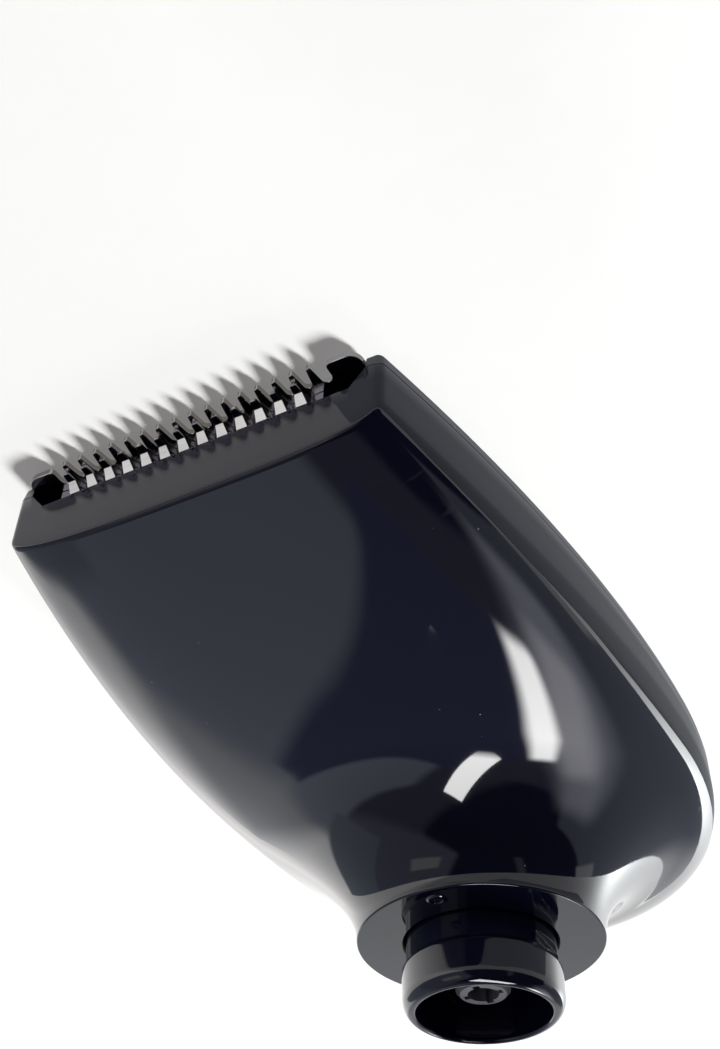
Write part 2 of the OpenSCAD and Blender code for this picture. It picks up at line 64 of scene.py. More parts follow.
FRONT_Y, REAR_Y = HOUSING_LOW[1], HOUSING_HIGH[1]
HALF_BODY = HOUSING_HIGH[0]
PART_Z = HOUSING_LOW[2]
BASE_Z = COVER_LOW[2]
SPIGOT_TOP = COLLAR_HIGH[2]

# ---- housing surface ----
WALL = 1.5
PLATE = 1.6
LIP = 0.07  # half of the groove along the parting line
HALF_FRONT = 15.0
WIDEST_Y = -2.5
SIDE_POWER = 1.95
REAR_POWER = 2.3
FRONT_H, CROWN_H = 6.1, 10.9
CROWN_BACK_Y, SOFTEN_BACK_Y = -3.5, 13.0
CREASE_H, CREASE_FALL = 3.2, 0.35
CROWN_POWER, CROWN_SOFTEN = 3.3, 1.5
CREASE_CUT = 0.995
FLANGE_R = 10.6
FLARE_SIDE, FLARE_FRONT, FLARE_REAR = 8.0, 11.0, 9.0
HOLE_R, HOLE_BEVEL = 6.45, 0.25
CORNER_R = 0.7
EDGE_R = 0.4
FLANGE_EDGE_R = 0.15
WINDOW_LOW_X, WINDOW_TOP_X, WINDOW_H = 13.8, 12.6, 1.45
OUTER_RINGS, INNER_RINGS = 92, 26
SHELL_SHARP, BLADE_SHARP, TOOL_SHARP = 32, 28, 30  # degrees


def ease(t):
    return t * t * (3 - 2 * t)


def along(y, back_y):
    """Share of the way from the end face back to a given y."""
    return np.clip((y - FRONT_Y) / (back_y - FRONT_Y), 0, 1)


def rear_part(y, inset):
    return (y - WIDEST_Y) / (REAR_Y - inset - WIDEST_Y)


def half_width(y, inset):
    wide = HALF_BODY - inset
    t = np.clip((WIDEST_Y - y) / (WIDEST_Y - FRONT_Y - inset), 0, None)
    return wide - (wide - HALF_FRONT + inset) * t ** SIDE_POWER


def gauge(x, y, inset):
    """Zero on the axis of symmetry, one on the outline."""
    wide = HALF_BODY - inset
    rear = (np.abs(x) / wide) ** REAR_POWER + np.clip(rear_part(y, inset), 0, None) ** REAR_POWER
    return np.where(y < WIDEST_Y, np.abs(x) / half_width(y, inset), rear ** (1 / REAR_POWER))


def crown_z(x, y, inset):
    """Height of the crown without its neck."""
    back = along(y, CROWN_BACK_Y)
    ridge = FRONT_H + (CROWN_H - FRONT_H) * back * (3 - back * back) / 2
    crease = CREASE_H - CREASE_FALL * ease(back)
    power = CROWN_POWER - CROWN_SOFTEN * ease(along(y, SOFTEN_BACK_Y))
    g = np.minimum(1, gauge(x, y, inset)) * (CREASE_CUT + (1 - CREASE_CUT) * ease(back))
    arch = np.clip(1 - g ** power, 0, None) ** (1 / power)
    return PART_Z - inset + crease + (ridge - crease) * arch


def top_z(x, y, inset):
    """Height of the housing: the crown with the neck blended in."""
    start = -PLATE if inset > 0 else 0.0
    reach = np.hypot(x, y)
    c = y / reach
    flare = FLARE_SIDE + c * c * (np.where(c < 0, FLARE_FRONT, FLARE_REAR) - FLARE_SIDE)
    t = np.clip((reach - FLANGE_R + inset) / flare, 0, 1)
    return start + (crown_z(x, y, inset) - start) * np.sqrt(np.clip(1 - (1 - t) ** 2, 0, None))


def outline(inset, corner, counts=(56, 10, 120, 96)):
    """Closed plan outline, counter-clockwise from the middle of the end face."""
    n_front, n_corner, n_side, n_rear = counts
    front_x, front_y = HALF_FRONT - inset, FRONT_Y + inset
    step = 0.01
    slope = (half_width(front_y + step, inset) - half_width(front_y, inset)) / step
    side_dir = np.array([slope, 1.0]) / math.hypot(slope, 1)
    centre_x = front_x - corner * (1 - side_dir[0]) / side_dir[1]
    marks = np.array([WINDOW_TOP_X, WINDOW_LOW_X])
    xs = np.unique(np.concatenate([np.linspace(0, centre_x, n_front), marks]))
    points = [(x, front_y) for x in xs[:-1]]
    turn = math.atan2(side_dir[0], side_dir[1])
    for a in np.linspace(-math.pi / 2, -turn, n_corner):
        points.append((centre_x + corner * math.cos(a), front_y + corner + corner * math.sin(a)))
    y_start = points[-1][1]
    for y in np.linspace(y_start, WIDEST_Y, n_side)[1:-1]:
        points.append((float(half_width(y, inset)), y))
    reach = REAR_Y - inset - WIDEST_Y
    power = 2 / REAR_POWER
    for a in np.linspace(0, math.pi / 2, n_rear):
        points.append(((HALF_BODY - inset) * max(math.cos(a), 0) ** power,
                       WIDEST_Y + reach * max(math.sin(a), 0) ** power))
    points[-1] = (0.0, REAR_Y - inset)
    mirrored = [(-x, y) for x, y in points[-2:0:-1]]
    return np.array(points + mirrored)


def outward(points):
    """Unit normals of a closed counter-clockwise outline."""
    chord = np.roll(points, -1, 0) - np.roll(points, 1, 0)
    normal = np.stack([chord[:, 1], -chord[:, 0]], 1)
    return normal / np.linalg.norm(normal, axis=1, keepdims=True)


def window_z(x):
    """Lower edge of the end wall: the parting line, raised over the teeth."""
    rise = np.clip((WINDOW_LOW_X - np.abs(x)) / (WINDOW_LOW_X - WINDOW_TOP_X), 0, 1)
    return PART_Z + WINDOW_H * rise


# ---- mesh helpers ----
def new_object(name, vertices_mm, faces):
    mesh = bpy.data.meshes.new(name)
    mesh.from_pydata([tuple(c * MM for c in v) for v in vertices_mm], [], faces)
    mesh.validate()
    mesh.update()
    obj = bpy.data.objects.new(name, mesh)
    bpy.context.scene.collection.objects.link(obj)
    return obj


def recalc(obj, sharp_deg):
    """Faces outwards, smooth shading, sharp over an angle."""
    bm = bmesh.new()
    bm.from_mesh(obj.data)
    bmesh.ops.remove_doubles(bm, verts=bm.verts, dist=1e-7)
    bmesh.ops.recalc_face_normals(bm, faces=bm.faces)
    bm.to_mesh(obj.data)
    bm.free()
    obj.data.shade_smooth()
    obj.data.set_sharp_from_angle(angle=math.radians(sharp_deg))
    return obj


def ring_faces(ring_count, n, closed):
    faces = []
    last = ring_count if closed else ring_count - 1
    for i in range(last):
        a, b = i * n, ((i + 1) % ring_count) * n
        for k in range(n):
            k2 = (k + 1) % n
            faces.append((a + k, a + k2, b + k2, b + k))
    return faces


def ring_object(name, rings, closed=True, caps=False):
    """Quads between rings of equal length. Closed joins the last ring to the first."""
    n = len(rings[0])
    vertices = np.concatenate(rings)
    faces = ring_faces(len(rings), n, closed)
    if caps:
        faces.append(tuple(range(n - 1, -1, -1)))
        faces.append(tuple(range((len(rings) - 1) * n, len(rings) * n)))
    return new_object(name, vertices, faces)


def lathe(name, profile, segments=256, closed=True):
    """Turns (radius, z) points round the coupling axis. A zero radius is a pole."""
    angles = np.arange(segments) * 2 * math.pi / segments
    rings = []
    for r, z in profile:
        rings.append(np.stack([r * np.cos(angles), r * np.sin(angles), np.full(segments, z)], 1))
    return ring_object(name, rings, closed)


def arc_points(centre, radius, start_deg, end_deg, count):
    """Points of an arc in a (radius, z) profile or a plan."""
    out = []
    for i in range(count + 1):
        a = math.radians(start_deg + (end_deg - start_deg) * i / count)
        out.append((centre[0] + radius * math.cos(a), centre[1] + radius * math.sin(a)))
    return out


def slab(name, plan, z0, z1, edge):
    """Extrudes a counter-clockwise plan, with a small chamfer round both faces."""
    plan = np.array(plan, float)
    inner = plan - outward(plan) * edge
    levels = [(inner, z0), (plan, z0 + edge), (plan, z1 - edge), (inner, z1)]
    rings = [np.column_stack([p, np.full(len(p), z)]) for p, z in levels]
    obj = ring_object(name, rings, closed=False, caps=True)
    bm = bmesh.new()
    bm.from_mesh(obj.data)
    big = [f for f in bm.faces if len(f.verts) > 4]
    bmesh.ops.triangulate(bm, faces=big)
    bm.to_mesh(obj.data)
    bm.free()
    return obj


def block(name, low, high, edge=0.05):
    plan = [(low[0], low[1]), (high[0], low[1]), (high[0], high[1]), (low[0], high[1])]
    return slab(name, plan, low[2], high[2], edge)


def post(name, centre, radius, z0, z1, edge=0.05, segments=64):
    plan = arc_points(centre, radius, 0, 360 - 360 / segments, segments - 1)
    return slab(name, plan, z0, z1, edge)


def combine(target, others, operation):
    """Applies one exact Boolean per piece and drops the pieces."""
    for other in others:
        recalc(other, TOOL_SHARP)
        mod = target.modifiers.new("combine", "BOOLEAN")
        mod.object = other
        mod.operation = operation
        mod.solver = "EXACT"
        graph = bpy.context.evaluated_depsgraph_get()
        result = bpy.data.meshes.new_from_object(target.evaluated_get(graph))
        old = target.data
        target.modifiers.clear()
        target.data = result
        bpy.data.meshes.remove(old)
        bpy.data.meshes.remove(other.data)
    return target


def absorb(target, others):
    """Adds the meshes of other closed pieces to a mesh and drops the pieces."""
    bm = bmesh.new()
    bm.from_mesh(target.data)
    for other in others:
        recalc(other, TOOL_SHARP)
        bm.from_mesh(other.data)
        bpy.data.meshes.remove(other.data)
    bm.to_mesh(target.data)
    bm.free()


def place(obj, body, slot, *nodes):
    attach(obj, body)
    if nodes:
        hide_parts(*nodes)
    return obj


# ---- housing ----
GATE_Y, GATE_RING, GATE_W, GATE_H = -8.83, 0.62, 0.16, 0.11
PIP_SHARE, PIP_W = 0.6, 0.17


def gate_mark(x, y):
    """Moulded ring left by the gate on the flange face."""
    d = np.hypot(x, y - GATE_Y)
    rim = np.exp(-((d - GATE_RING) / GATE_W) ** 2)
    pip = PIP_SHARE * np.exp(-(d / PIP_W) ** 2)
    return GATE_H * (rim + pip)


def level_ring(points, z):
    return np.column_stack([points, np.full(len(points), z) if np.isscalar(z) else z])


def circle_ring(directions, r, z):
    return level_ring(directions * r, z)


def flange_rings(directions):
    rings = [circle_ring(directions, HOLE_R, z) for z in (-PLATE, -HOLE_BEVEL - 0.02)]
    rings.append(circle_ring(directions, HOLE_R + 0.02, -HOLE_BEVEL + 0.03))
    rim = FLANGE_EDGE_R
    for r in np.linspace(HOLE_R + HOLE_BEVEL, FLANGE_R - rim, 44):
        points = directions * r
        rings.append(level_ring(points, gate_mark(points[:, 0], points[:, 1])))
    for r, z in arc_points((FLANGE_R - rim, -rim), rim, 75, 0, 4):
        rings.append(circle_ring(directions, r, z))
    return rings


def end_weighted(i, count):
    """Share of the way at step i, with the steps close together at both ends."""
    return (1 - math.cos(math.pi * i / count)) / 2


def surface_rings(directions, edge):
    """Rings over the outside, from the flange to the plan outline."""
    reach = np.linalg.norm(edge, axis=1)
    rings = []
    for i in range(1, OUTER_RINGS + 1):
        share = end_weighted(i, OUTER_RINGS)
        r = FLANGE_R + (reach - FLANGE_R) * share
        points = directions * r[:, None]
        rings.append(level_ring(points, top_z(points[:, 0], points[:, 1], 0)))
    return rings


def ceiling_rings(inner):
    """Rings under the crown, from the side wall in to the neck."""
    reach = np.linalg.norm(inner, axis=1, keepdims=True)
    rings = []
    for i in range(INNER_RINGS - 1, -1, -1):
        share = end_weighted(i, INNER_RINGS)
        points = inner / reach * (FLANGE_R - WALL + (reach - FLANGE_R + WALL) * share)
        rings.append(level_ring(points, top_z(points[:, 0], points[:, 1], WALL)))
    return rings


def lower_edge_rings(plan, normal, low):
    """Groove-side edge of the side wall along the parting line."""
    corner = level_ring(plan - normal * LIP * 0.3, low + LIP * 0.3)
    return [corner, level_ring(plan - normal * LIP, low)]


def edge_rings(shoulder, plan, count=7):
    """Rounds the edge between the crown and the side wall, and gives the wall's top."""
    crest = top_z(plan[:, 0], plan[:, 1], 0)
    p0 = shoulder
    p1 = level_ring(plan, crest)
    p2 = level_ring(plan, crest - EDGE_R)
    rings = []
    for i in range(1, count + 1):
        t = i / count
        rings.append((1 - t) ** 2 * p0 + 2 * t * (1 - t) * p1 + t * t * p2)
    return rings


def build_housing():
    plan = outline(0, CORNER_R)
    normal = outward(plan)
    shoulder_plan = plan - normal * EDGE_R
    directions = shoulder_plan / np.linalg.norm(shoulder_plan, axis=1, keepdims=True)
    rings = flange_rings(directions)
    rings += surface_rings(directions, shoulder_plan)
    rings += edge_rings(rings[-1], plan)
    wall_top = rings[-1][:, 2]
    low = window_z(plan[:, 0])
    low = np.where(plan[:, 1] < FRONT_Y + 0.01, low, PART_Z)
    for t in (0.33, 0.67, 1.0):
        rings.append(level_ring(plan, wall_top + (low + LIP - wall_top) * t))
    rings += lower_edge_rings(plan, normal, low)
    inner = plan - normal * WALL
    rings.append(level_ring(inner, low))
    ceiling = top_z(inner[:, 0], inner[:, 1], WALL)
    for t in (0.5, 1.0):
        rings.append(level_ring(inner, low + (ceiling - low) * t))
    rings += ceiling_rings(inner)
    housing = recalc(ring_object("housing_shell", rings), SHELL_SHARP)
    absorb(housing, housing_ledges())
    return recalc(housing, SHELL_SHARP)


# ---- skin-side cover ----
COMB_TOP = COMB_HIGH[2]
POCKET_HALF = COMB_HIGH[0] + 0.1
POCKET_Y, BRIDGE_Y0, BRIDGE_Y1, BRIDGE_TOP = -38.4, -42.2, -37.8, -16.0
PIVOT_R = 1.2
PIVOT_Y = corner_mm("pivot_pin", 0)[1] + PIVOT_R
PIVOT_FLOOR = 0.7
HOOK_YS = (-30, -12, 8)
HOOK_HALF = 1.5
HOOK_TOP, LEDGE_TOP, LEDGE_LOW = -15.1, -15.45, -16
LEDGE_GAP = 0.05
PAD_TOP = -15.9
SHAFT_PAD_R, PIVOT_PAD_R = 3.0, 2.6
BLADE_HALF = COMB_HIGH[0]
SCREW_X, SCREW_Y = 9.5, -40.6
COVER_SCREW_R, COMB_SCREW_R = 0.75, 0.7
FOLD_R, BASE_LEAN = 0.3, 0.14


def cover_bridge():
    """Raised bar that holds the comb down by its screws."""
    half = BLADE_HALF - 0.5
    return block("bridge", (-half, BRIDGE_Y0, PART_Z - 0.8), (half, BRIDGE_Y1, BRIDGE_TOP), 0.05)


def cover_pads():
    """Round pads under the drive shaft and round the lever's pivot."""
    spots = (((0, 0), SHAFT_PAD_R), ((0, PIVOT_Y), PIVOT_PAD_R))
    return [post("pad", centre, radius, PART_Z - 0.5, PAD_TOP) for centre, radius in spots]


def at_wall(obj, y, side):
    """Moves a piece drawn with +X outwards to the inside of the side wall."""
    lean = (half_width(y + 1, WALL) - half_width(y - 1, WALL)) / 2
    turn = Matrix.Rotation(-math.atan(lean), 4, "Z")
    shift = Matrix.Translation((float(half_width(y, WALL)) * MM, y * MM, 0))
    obj.data.transform(Matrix.Diagonal((side, 1, 1, 1)) @ shift @ turn)
    if side < 0:
        obj.data.flip_normals()
    return obj


def cover_hooks():
    """Snap hooks along both sides: a post with a nub that catches the housing's ledge."""
    pieces = []
    for y in HOOK_YS:
        for side in (-1, 1):
            stem = block("stem", (-1.6, -HOOK_HALF, PART_Z - 0.4), (-0.6, HOOK_HALF, HOOK_TOP), 0.04)
            nub_low = (-0.9, -HOOK_HALF, LEDGE_TOP + LEDGE_GAP)
            nub = block("nub", nub_low, (-0.15, HOOK_HALF, HOOK_TOP), 0.04)
            combine(recalc(stem, TOOL_SHARP), [nub], "UNION")
            pieces.append(at_wall(stem, y, side))
    return pieces


def housing_ledges():
    """Ledges inside the side walls that the hooks catch."""
    pieces = []
    for y in HOOK_YS:
        for side in (-1, 1):
            ledge = block("ledge", (-0.5, -HOOK_HALF, LEDGE_LOW), (0.2, HOOK_HALF, LEDGE_TOP), 0.04)
            pieces.append(at_wall(ledge, y, side))
    return pieces


def cover_tools():
    """Cutting tools for the comb's pocket, its mouth, the pivot pin and the screws."""
    half = POCKET_HALF
    beyond = -60
    tools = [block("cut", (-half, beyond, BASE_Z - THROUGH), (half, POCKET_Y, COMB_TOP), 0.001)]
    mouth_low = (-half, beyond, COMB_TOP - 0.5)
    tools.append(block("cut", mouth_low, (half, BRIDGE_Y0, PART_Z + THROUGH), 0.001))
    tools.append(post("cut", (0, PIVOT_Y), PIVOT_R, BASE_Z + PIVOT_FLOOR, PART_Z + THROUGH, 0.001))
    for s in (-1, 1):
        spot = (s * SCREW_X, SCREW_Y)
        tools.append(post("cut", spot, COVER_SCREW_R, COMB_TOP - THROUGH, PART_Z + 4, 0.001))
    return tools


def build_cover():
    plan = outline(0, CORNER_R)
    normal = outward(plan)
    rings = [level_ring(plan * share, BASE_Z) for share in (0.15, 0.4, 0.7, 0.95)]
    for a in np.linspace(90, 0, 7):
        turn = math.radians(a)
        shift = BASE_LEAN + FOLD_R * (1 - math.cos(turn))
        rings.append(level_ring(plan - normal * shift, BASE_Z + FOLD_R * (1 - math.sin(turn))))
    rings.append(level_ring(plan, PART_Z - LIP))
    rings.append(level_ring(plan - normal * LIP * 0.3, PART_Z - LIP * 0.3))
    rings.append(level_ring(plan - normal * LIP, PART_Z))
    rings += [level_ring(plan * share, PART_Z) for share in (0.96, 0.7, 0.4, 0.15)]
    cover = recalc(ring_object("skin_cover", rings, closed=False, caps=True), SHELL_SHARP)
    combine(cover, [cover_bridge()] + cover_pads(), "UNION")
    recalc(cover, SHELL_SHARP)
    combine(cover, cover_tools(), "DIFFERENCE")
    absorb(cover, cover_hooks())
    return recalc(cover, SHELL_SHARP)


# ---- spigot ----
MOUTH_R, GROOVE_R, BEAD_R = 5.6, 6.4, 6.75
BEAD_LOW, BEAD_HIGH = 2.5, 4.9
MOUTH_EDGE_R, BEAD_EDGE_R, GROOVE_EDGE_R = 0.25, 0.12, 0.1
LATCH_X, LATCH_LOW, LATCH_HIGH = 5.9, 1.06, 2.75
SEAL_HOLE_R, INNER_FLOOR_Z, UNDER_FLOOR_Z = 3.7, -0.4, -1.8
COLLAR_FLANGE_R, COLLAR_HOLLOW_R = 8.8, 5


def mouth_profile():
    """From the seal's hole up the bore and over the rounded lip."""
    lip_in = MOUTH_R + MOUTH_EDGE_R
    profile = [(SEAL_HOLE_R, INNER_FLOOR_Z), (MOUTH_R, INNER_FLOOR_Z)]
    profile += [(MOUTH_R, z) for z in np.linspace(0.2, SPIGOT_TOP - 0.22, 6)]
    profile += arc_points((lip_in, SPIGOT_TOP - MOUTH_EDGE_R), MOUTH_EDGE_R, 170, 90, 6)
    for i in range(1, 25):
        a = math.radians(90 * i / 24)
        profile.append((lip_in + (BEAD_R - lip_in) * math.sin(a),
                        BEAD_HIGH + (SPIGOT_TOP - BEAD_HIGH) * math.cos(a)))
    return profile


def groove_profile():
    """Down the bead and the groove, with close rings at the ends of the latch flats."""
    profile = [(BEAD_R, z) for z in np.linspace(BEAD_HIGH - 0.3, 2.78, 8)]
    profile += [(BEAD_R, 2.759), (BEAD_R, 2.741)]
    profile += arc_points((BEAD_R - BEAD_EDGE_R, BEAD_LOW + 0.1), BEAD_EDGE_R, 0, -50, 4)
    profile += arc_points((GROOVE_R + GROOVE_EDGE_R, BEAD_LOW - 0.42), GROOVE_EDGE_R, 130, 180, 4)
    profile += [(GROOVE_R, z) for z in np.linspace(2.0, 1.1, 6)]
    profile += [(GROOVE_R, z) for z in (1.069, 1.051, 0.8, 0.2, -PLATE)]
    return profile


def flange_profile():
    """The flange under the housing's plate and back to the seal's hole."""
    profile = [(COLLAR_FLANGE_R, -PLATE), (COLLAR_FLANGE_R, -2 * PLATE), (COLLAR_HOLLOW_R, -2 * PLATE)]
    return profile + [(COLLAR_HOLLOW_R, UNDER_FLOOR_Z), (SEAL_HOLE_R, UNDER_FLOOR_Z)]


def flatten_latches(obj):
    """Cuts the two latch flats by moving the points that stand proud of them."""
    for v in obj.data.vertices:
        if LATCH_LOW < v.co.z / MM < LATCH_HIGH and abs(v.co.x) > LATCH_X * MM:
            v.co.x = math.copysign(LATCH_X * MM, v.co.x)


def build_collar():
    obj = lathe("spigot", mouth_profile() + groove_profile() + flange_profile(), 384)
    flatten_latches(obj)
    return recalc(obj, 35)


# ---- blades ----
COMB_TEETH, COMB_PITCH = 16, 1.35
CUTTER_TEETH, CUTTER_PITCH = 13, 1.58
COMB_ROOT_Y = -48.55
COMB_TIP_Y = COMB_LOW[1]
COMB_REAR_Y = COMB_HIGH[1]
TOOTH_T = 0.5
LOBE_IN = 11.3
CUTTER_HALF = 11.0
CUTTER_ROOT_Y, CUTTER_FLAT_Y, CUTTER_BEVEL_Y = -47.7, -47.98, -48.53
CUTTER_TIP_T = 0.29
RIVET_R, RIVET_X, RIVET_Y = 0.6, 5, -44.5


def comb_plan(rear_y):
    """Plan of the comb: rear edge, end lobes, round-tipped teeth with round roots."""
    tip, half_root = 0.2, 0.36
    front = COMB_TIP_Y + 0.2
    points = [(-BLADE_HALF, rear_y)]
    points += arc_points((-BLADE_HALF + 1, front + 1), 1.0, 180, 270, 8)
    points += [(-LOBE_IN - 0.35, front), (-LOBE_IN - 0.1, front + 0.1), (-LOBE_IN, front + 0.35)]
    gap_left = -LOBE_IN
    for i in range(COMB_TEETH):
        x = (i - (COMB_TEETH - 1) / 2) * COMB_PITCH
        points += root_arc(gap_left, x - half_root)
        points += arc_points((x, COMB_TIP_Y + tip), tip, 190, 350, 8)
        gap_left = x + half_root
    points += root_arc(gap_left, LOBE_IN)
    points += [(LOBE_IN, front + 0.35), (LOBE_IN + 0.1, front + 0.1), (LOBE_IN + 0.35, front)]
    points += arc_points((BLADE_HALF - 1, front + 1), 1.0, 270, 360, 8)
    points.append((BLADE_HALF, rear_y))
    return points


def root_arc(left, right):
    """Round bottom of the gap between two teeth."""
    r = (right - left) / 2
    return arc_points(((left + right) / 2, COMB_ROOT_Y - 0.1), r, 180, 0, 6)


def through_holes(spot, radius, z0, z1):
    """A pair of drills, left and right, through a plate between two heights."""
    x, y = spot
    return [post("hole", (s * x, y), radius, z0 - THROUGH, z1 + THROUGH) for s in (-1, 1)]


def build_comb():
    teeth = slab("comb_blade", comb_plan(COMB_ROOT_Y + 1), COMB_TOP - TOOTH_T, COMB_TOP, 0.035)
    low, high = (-BLADE_HALF, COMB_ROOT_Y + 0.55, COMB_LOW[2]), (BLADE_HALF, COMB_REAR_Y, COMB_TOP)
    plate = block("plate", low, high, 0.03)
    recalc(teeth, TOOL_SHARP)
    combine(teeth, [plate], "UNION")
    combine(teeth, through_holes((SCREW_X, SCREW_Y), COMB_SCREW_R, COMB_LOW[2], COMB_TOP), "DIFFERENCE")
    return recalc(teeth, BLADE_SHARP)


def cutter_tooth(x, root_y, tip_y):
    """One flat trapezoid tooth with bevelled tip corners, left to right."""
    left = [(-0.55, root_y + 0.05), (-0.49, root_y - 0.05), (-0.31, CUTTER_BEVEL_Y)]
    left += [(-0.25, tip_y + 0.08), (-0.17, tip_y)]
    right = [(-dx, y) for dx, y in reversed(left)]
    return [(x + dx, y) for dx, y in left + right]


def cutter_plan():
    points = [(-CUTTER_HALF, CUTTER_HIGH[1]), (-CUTTER_HALF, CUTTER_ROOT_Y)]
    for i in range(CUTTER_TEETH):
        x = (i - (CUTTER_TEETH - 1) / 2) * CUTTER_PITCH
        points += cutter_tooth(x, CUTTER_ROOT_Y, CUTTER_LOW[1])
    points += [(CUTTER_HALF, CUTTER_ROOT_Y), (CUTTER_HALF, CUTTER_HIGH[1])]
    return points


def tip_relief(z0, z1):
    """Tool that bevels the top of the teeth down to the thin tips."""
    beyond = -60
    above, tip_top = z1 + THROUGH, z0 + CUTTER_TIP_T
    profile = [(beyond, above), (beyond, tip_top), (CUTTER_BEVEL_Y, tip_top)]
    profile += [(CUTTER_FLAT_Y, z1), (CUTTER_FLAT_Y, above)]
    ends = (-CUTTER_HALF - 1, CUTTER_HALF + 1)
    rings = [np.array([(x, y, z) for y, z in profile]) for x in ends]
    return ring_object("relief", rings, closed=False, caps=True)


def build_cutter():
    z0, z1 = CUTTER_LOW[2], CUTTER_HIGH[2]
    cutter = recalc(slab("sliding_cutter", cutter_plan(), z0, z1, 0.03), TOOL_SHARP)
    combine(cutter, [tip_relief(z0, z1)], "DIFFERENCE")
    combine(cutter, through_holes((RIVET_X, RIVET_Y), RIVET_R, z0, z1), "DIFFERENCE")
    shift = (CUTTER_HIGH[0] + CUTTER_LOW[0]) / 2
    cutter.data.transform(Matrix.Translation((shift * MM, 0, 0)))
    return recalc(cutter, BLADE_SHARP)


# ---- material nodes ----
class Recipe:
    """A material under construction, with short calls for the nodes it needs."""

    def __init__(self, name):
        self.material = bpy.data.materials.new(name)
        self.material.use_nodes = True
        self.tree = self.material.node_tree
        self.shader = self.tree.nodes["Principled BSDF"]
        self.coords = self.tree.nodes.new("ShaderNodeTexCoord").outputs["Object"]

    def put(self, socket, value):
        if isinstance(value, bpy.types.NodeSocket):
            self.tree.links.new(value, socket)
        else:
            socket.default_value = value

    def set(self, name, value):
        self.put(self.shader.inputs[name], value)

    def math(self, operation, a, b=0.0, clamp=False):
        node = self.tree.nodes.new("ShaderNodeMath")
        node.operation = operation
        node.use_clamp = clamp
        self.put(node.inputs[0], a)
        self.put(node.inputs[1], b)
        return node.outputs[0]

    def span(self, value, low, high, to_low=0.0, to_high=1.0):
        node = self.tree.nodes.new("ShaderNodeMapRange")
        node.clamp = True
        for i, v in enumerate((value, low, high, to_low, to_high)):
            self.put(node.inputs[i], v)
        return node.outputs[0]

    def noise(self, scale, detail=3.0, stretch=(1, 1, 1), turn=0.0):
        mapping = self.tree.nodes.new("ShaderNodeMapping")
        mapping.inputs["Scale"].default_value = stretch
        mapping.inputs["Rotation"].default_value = (0, 0, turn)
        self.put(mapping.inputs["Vector"], self.coords)
        node = self.tree.nodes.new("ShaderNodeTexNoise")
        node.inputs["Scale"].default_value = scale
        node.inputs["Detail"].default_value = detail
        self.put(node.inputs["Vector"], mapping.outputs[0])
        return node.outputs["Fac"]

    def specks(self, scale, size):
        """Small round dots, as of dust or pores."""
        node = self.tree.nodes.new("ShaderNodeTexVoronoi")
        node.inputs["Scale"].default_value = scale
        self.put(node.inputs["Vector"], self.coords)
        return self.span(node.outputs["Distance"], size, size * 0.6)

    def mix(self, factor, a, b):
        node = self.tree.nodes.new("ShaderNodeMix")
        node.data_type = "RGBA"
        self.put(node.inputs[0], factor)
        self.put(node.inputs[6], a)
        self.put(node.inputs[7], b)
        return node.outputs[2]

    def bump(self, height, distance, strength=1.0, rounding=0.0):
        node = self.tree.nodes.new("ShaderNodeBump")
        node.inputs["Distance"].default_value = distance
        node.inputs["Strength"].default_value = strength
        self.put(node.inputs["Height"], height)
        if rounding:
            bevel = self.tree.nodes.new("ShaderNodeBevel")
            bevel.samples = 6
            bevel.inputs["Radius"].default_value = rounding
            self.put(node.inputs["Normal"], bevel.outputs[0])
        return node.outputs[0]


def rgba(r, g, b):
    return (r, g, b, 1.0)


def scratch_lines(m, turn):
    """Sparse hairlines running one way."""
    lines = m.noise(900, 2.0, (0.04, 1.0, 1.0), turn)
    patches = m.noise(60, 2.0)
    return m.math("MULTIPLY", m.span(lines, 0.70, 0.74), m.span(patches, 0.56, 0.66))


def gloss_plastic(name, colour, roughness, rounding, ior=1.5):
    """Polished dark moulding: faint flow ripple, smudges, hairline scratches, dust."""
    m = Recipe(name)
    smudge = m.noise(180, 4.0)
    scratch = m.math("MAXIMUM", scratch_lines(m, 0.5), scratch_lines(m, -0.7))
    dust = m.math("MULTIPLY", m.specks(420, 0.035), m.span(m.noise(90, 2.0), 0.5, 0.62))
    tint = m.mix(m.noise(35, 3.0), rgba(*colour), rgba(*(c * 1.25 for c in colour)))
    m.set("Base Color", m.mix(m.math("MULTIPLY", dust, 0.8), tint, rgba(0.45, 0.45, 0.46)))
    base = m.span(smudge, 0.35, 0.75, roughness, roughness * 1.8)
    marked = m.math("ADD", base, m.math("MULTIPLY", scratch, 0.18))
    m.set("Roughness", m.math("ADD", marked, m.math("MULTIPLY", dust, 0.5), clamp=True))
    ripple = m.math("ADD", m.noise(120, 1.0), m.math("MULTIPLY", scratch, -0.02))
    m.set("Normal", m.bump(ripple, 0.00003, 0.25, rounding))
    m.set("IOR", ior)
    return m.material


def ground_steel(name, colour, roughness, grain, turn=0.0):
    """Ground and polished metal: fine grinding lines, soft blotches, worn edges."""
    m = Recipe(name)
    lines = m.noise(5000, 2.0, grain, turn)
    blotch = m.noise(400, 4.0)
    worn = m.mix(m.span(blotch, 0.35, 0.7), rgba(*colour), rgba(*(c * 0.82 for c in colour)))
    m.set("Base Color", worn)
    m.set("Metallic", 1.0)
    m.set("Roughness", m.span(lines, 0.3, 0.7, roughness * 0.75, roughness * 1.35))
    m.set("Normal", m.bump(lines, 0.000004, 0.5, 0.00003))
    return m.material


def moulded_plastic(name, colour, roughness):
    """Plain engineering plastic: eroded-die grain, slight colour drift, dulled edges."""
    m = Recipe(name)
    grain = m.noise(6000, 3.0)
    drift = m.noise(250, 3.0)
    m.set("Base Color", m.mix(drift, rgba(*colour), rgba(*(min(1, c * 1.3) for c in colour))))
    m.set("Roughness", m.span(drift, 0.3, 0.7, roughness, roughness * 1.3))
    m.set("Normal", m.bump(grain, 0.00001, 0.4, 0.00006))
    return m.material


